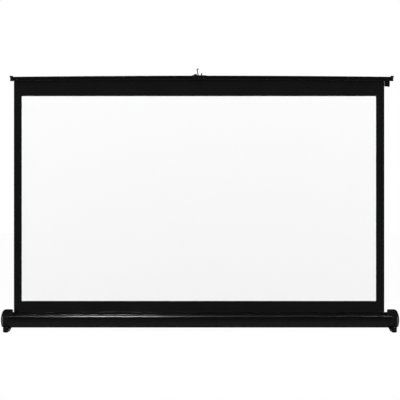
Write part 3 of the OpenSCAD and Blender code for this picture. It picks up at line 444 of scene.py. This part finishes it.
def makeScreen():
    middle = (sheetLow + sheetHigh) / 2
    left = sheetLow.x + screen["left"]
    right = sheetHigh.x - screen["right"]
    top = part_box("top_bar")[0].z - screen["belowBar"]
    bottom = top - screen["white"]
    mesh = bmesh.new()
    # A grid one metre wide, stood up and stretched to the sheet
    bmesh.ops.create_grid(mesh, x_segments=screen["columns"], y_segments=screen["rows"], size=0.5)
    upright = Matrix.Rotation(math.radians(rightAngle), 4, "X")
    bmesh.ops.transform(mesh, matrix=upright, verts=mesh.verts)
    stretch = Matrix.Diagonal((sheetSize.x, 1, sheetSize.z, 1))
    bmesh.ops.transform(mesh, matrix=stretch, verts=mesh.verts)
    bmesh.ops.translate(mesh, vec=(middle.x, sheetLow.y, middle.z), verts=mesh.verts)
    for x in (left, right):
        cut(mesh, (x, 0, 0), (1, 0, 0))
    for z in (bottom, top):
        cut(mesh, (0, 0, z), (0, 0, 1))
    for face in mesh.faces:
        if face.normal.y > 0:
            face.normal_flip()
        spot = face.calc_center_median()
        inside = left < spot.x < right and bottom < spot.z < top
        face.material_index = screenParts.index("white" if inside else "border")
    front = mesh.faces[:]
    made = bmesh.ops.extrude_face_region(mesh, geom=front, use_keep_orig=True)
    back = [item for item in made["geom"] if isinstance(item, bmesh.types.BMFace)]
    moved = {vert for face in back for vert in face.verts}
    bmesh.ops.translate(mesh, vec=(0, sheetSize.y, 0), verts=list(moved))
    fronts = set(front)
    for face in mesh.faces:
        if face not in fronts:
            face.material_index = screenParts.index("back")
    bmesh.ops.recalc_face_normals(mesh, faces=mesh.faces)
    unroll(mesh)
    return settle("screenCloth", mesh, [finishes[key] for key in screenParts])


screenCloth = makeScreen()
seat(screenCloth, "base", "screen_sheet")
pull = next(joint for joint in frame["joints"] if joint["name"] == "screen_pull")
leftOut = 1 - pull["range_m"][1] / sheetSize.z  # share of the cloth that stays unwound
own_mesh(screenCloth)
print("screen made")


# The last turns of cloth on the roller: one spiral of half turns about two centres
winding = {"turns": 1, "inner": 11.02 * mm, "cloth": 0.2 * mm, "pitch": 0.22 * mm, "steps": 32}


def makeWinding():
    start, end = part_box("wound_fabric")
    centre = (start + end) / 2
    inner = winding["inner"]
    outer = inner + winding["cloth"]
    mesh = bmesh.new()
    corners = ((start.x, inner), (end.x, inner), (end.x, outer), (start.x, outer))
    profile = [mesh.verts.new((x, centre.y, centre.z + reach)) for x, reach in corners]
    section = [mesh.faces.new(profile)]
    for half in range(2 * winding["turns"]):
        drop = winding["pitch"] / 2 if half % 2 else 0.0
        axle = (centre.x, centre.y, centre.z - drop)
        section = spun(mesh, section, axle, (1, 0, 0), math.pi, winding["steps"])
    unroll(closed(mesh))
    return settle("woundCloth", mesh, [finishes["border"]])


seat(makeWinding(), "roller", "wound_fabric")


# The torsion spring: close coils, drawn by one long spin that climbs along the shaft
coil = {"wire": 2.6 * mm, "pitch": 2.9 * mm, "sides": 8, "steps": 20}


def makeSpring():
    start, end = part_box("torsion_spring")
    centre = (start + end) / 2
    thick = coil["wire"] / 2
    reach = (end.z - start.z) / 2 - thick
    length = end.x - start.x - coil["wire"]
    turns = int(length / coil["pitch"])
    steps = turns * coil["steps"]
    mesh = bmesh.new()
    ring = bmesh.ops.create_circle(mesh, cap_ends=True, radius=thick, segments=coil["sides"])
    begin = (start.x + thick, centre.y + reach, centre.z)
    bmesh.ops.translate(mesh, vec=begin, verts=ring["verts"])
    spun(mesh, mesh.faces[:], centre, (1, 0, 0), 2 * math.pi * turns, steps, (length / steps, 0, 0))
    bmesh.ops.recalc_face_normals(mesh, faces=mesh.faces)
    return settle("torsionSpring", mesh, [finishes["spring"]])


seat(makeSpring(), "roller", "torsion_spring")
print("winding and spring made")


# The clamp's wire lever and its soft tip, spun along the same two bends as the solids.
# It leans from upright by "lean", bends back by "bend" and curls over at its top by "turn"
lever = {"hub": 6 * mm, "lean": 36.0, "start": 2 * mm, "length": 36 * mm, "wire": 3 * mm,
         "bend": 30.0, "bendSteps": 16, "curl": 2.4 * mm, "turn": 100.0, "turnSteps": 48,
         "sides": 20}
softTip = {"wall": 0.5 * mm, "turn": 70.0, "steps": 32, "sides": 24, "rings": 12}


def polar(angle, reach):
    # Angles count from the right, anticlockwise as seen from the front
    turned = math.radians(angle)
    return Vector((math.cos(turned) * reach, 0, math.sin(turned) * reach))


def leverBends():
    # The long bend and the curl: centre, reach and start angle of the wire's middle line
    start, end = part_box("clamp_screw")
    hub = Vector(((start.x + end.x) / 2, end.y - lever["hub"] / 2, (start.z + end.z) / 2))
    foot = rightAngle + lever["lean"]
    neck = foot - lever["bend"]
    reach = lever["length"] / math.radians(lever["bend"])
    centre = hub + polar(foot, lever["start"]) - polar(foot + rightAngle, reach)
    begin = neck + rightAngle
    curlCentre = centre + polar(begin, reach) - polar(begin, lever["curl"])
    return (centre, reach, foot + rightAngle), (curlCentre, lever["curl"], begin)


def wireAlong(mesh, centre, reach, begin, turn, radius, steps, sides):
    # A round section at one angle, spun clockwise as seen from the front
    ring = bmesh.ops.create_circle(mesh, cap_ends=True, radius=radius, segments=sides)["verts"]
    tilt = Matrix.Rotation(math.radians(-begin), 3, "Y")
    bmesh.ops.rotate(mesh, cent=(0, 0, 0), matrix=tilt, verts=ring)
    bmesh.ops.translate(mesh, vec=centre + polar(begin, reach), verts=ring)
    section = [face for face in mesh.faces if set(face.verts) <= set(ring)]
    spun(mesh, section, centre, (0, 1, 0), math.radians(turn), steps)


def makeLever():
    longBend, curl = leverBends()
    radius = lever["wire"] / 2
    mesh = bmesh.new()
    wireAlong(mesh, *longBend, lever["bend"], radius, lever["bendSteps"], lever["sides"])
    wireAlong(mesh, *curl, lever["turn"], radius, lever["turnSteps"], lever["sides"])
    return settle("clampLever", closed(mesh), [finishes["wire"]])


def makeTip():
    centre, reach, begin = leverBends()[1]
    radius = lever["wire"] / 2 + softTip["wall"]
    mouth = begin - lever["turn"] + softTip["turn"]
    mesh = bmesh.new()
    wireAlong(mesh, centre, reach, mouth, softTip["turn"], radius, softTip["steps"],
              softTip["sides"])
    dome = bmesh.ops.create_uvsphere(mesh, u_segments=softTip["sides"],
                                     v_segments=softTip["rings"], radius=radius)
    end = centre + polar(mouth - softTip["turn"], reach)
    bmesh.ops.translate(mesh, vec=end, verts=dome["verts"])
    bmesh.ops.recalc_face_normals(mesh, faces=mesh.faces)
    return settle("leverTip", mesh, [finishes["rubber"]])


seat(makeLever(), "clamp", "clamp_lever")
seat(makeTip(), "clamp", "lever_tip")
print("lever made")


# Studio: a pale floor, a white backdrop behind the screen and a dim room in front.
# "backdrop" is how squarely a mirrored ray has to look back to see the white
studio = {"floor": 0.14, "floorLift": 0.94, "ambient": 0.3, "reach": 60.0, "backdrop": 0.8}


def makeFloor():
    mesh = bmesh.new()
    bmesh.ops.create_grid(mesh, x_segments=1, y_segments=1, size=studio["reach"])
    colour = grey(studio["floor"])
    matte = {"Base Color": colour, "Roughness": 1.0, "Specular IOR Level": 0.0}
    finish = Finish("studioFloor", matte)
    seen = finish.either(finish.ray("Is Camera Ray"), finish.ray("Is Transmission Ray"))
    glow = {"Color": grey(1.0), "Strength": seen * studio["floorLift"]}
    lift = finish.node("ShaderNodeEmission", {}, glow)
    surface = Wire(finish, finish.shader.outputs[0])
    both = finish.node("ShaderNodeAddShader", {}, {0: surface, 1: lift})
    finish.feed(finish.tree.nodes["Material Output"], {"Surface": both})
    settle("studioFloor", mesh, [finish])


def makeRoom():
    world = bpy.data.worlds.new("studioRoom")
    bpy.context.scene.world = world
    world.use_nodes = True
    room = Graph(world.node_tree)
    direction = room.node("ShaderNodeTexCoord", {}, {}, "Generated")
    depth = room.node("ShaderNodeSeparateXYZ", {}, {0: direction}, "Y")
    behind = room.maths("GREATER_THAN", depth, studio["backdrop"])
    mirror = room.either(room.ray("Is Glossy Ray"), room.ray("Is Transmission Ray"))
    white = room.either(room.ray("Is Camera Ray"), mirror * behind)
    dim = (1 - mirror) * studio["ambient"]
    strength = room.either(white, dim)
    room.feed(room.tree.nodes["Background"], {"Color": grey(1.0), "Strength": strength})


# Two large softboxes light the cloth evenly, the rear one lights the edges from behind,
# and the two strips above draw the bright streak along the case
lamps = [
    {"name": "leftSoftbox", "at": (-4.9, -3.4, 1.1), "aim": (0, 0, 0.3),
     "wide": 2.4, "tall": 2.4, "watts": 254},
    {"name": "rightSoftbox", "at": (4.9, -3.4, 1.1), "aim": (0, 0, 0.3),
     "wide": 2.4, "tall": 2.4, "watts": 254},
    {"name": "rearSoftbox", "at": (2.4, 4.6, 0.5), "aim": (0, 0, 0.4),
     "wide": 2.4, "tall": 0.8, "watts": 70},
    {"name": "leftStrip", "at": (-0.32, -1.6, 2.6), "aim": (-0.32, 0, 0.05),
     "wide": 0.28, "tall": 0.17, "watts": 10},
    {"name": "rightStrip", "at": (0.78, -1.6, 2.6), "aim": (0.78, 0, 0.05),
     "wide": 0.18, "tall": 0.17, "watts": 1.8},
]


def makeLamps():
    for lamp in lamps:
        light = bpy.data.lights.new(lamp["name"], "AREA")
        light.shape = "RECTANGLE"
        light.size = lamp["wide"]
        light.size_y = lamp["tall"]
        light.energy = lamp["watts"]
        holder = show(lamp["name"], light)
        holder.location = lamp["at"]
        aim = Vector(lamp["aim"]) - Vector(lamp["at"])
        holder.rotation_euler = aim.to_track_quat("-Z", "Y").to_euler()


# Long lens, level with the middle of the picture, square to the screen.
# "width" is how much of the plane of the screen's front the picture takes in
view = {"distance": 20.0, "belowBar": 386.15 * mm, "width": 1250.16 * mm, "plane": -6 * mm,
        "sensor": 36.0, "farthest": 200.0}


def makeCamera():
    camera = bpy.data.cameras.new("photoCamera")
    camera.sensor_width = view["sensor"]
    camera.lens = view["sensor"] * view["distance"] / view["width"]
    camera.clip_end = view["farthest"]
    holder = show("photoCamera", camera)
    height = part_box("top_bar")[1].z - view["belowBar"]
    holder.location = (0, view["plane"] - view["distance"], height)
    holder.rotation_euler = (math.radians(rightAngle), 0, 0)
    bpy.context.scene.camera = holder


makeFloor()
makeRoom()
makeLamps()
makeCamera()
bpy.context.scene.view_settings.view_transform = "Standard"
print("studio made")
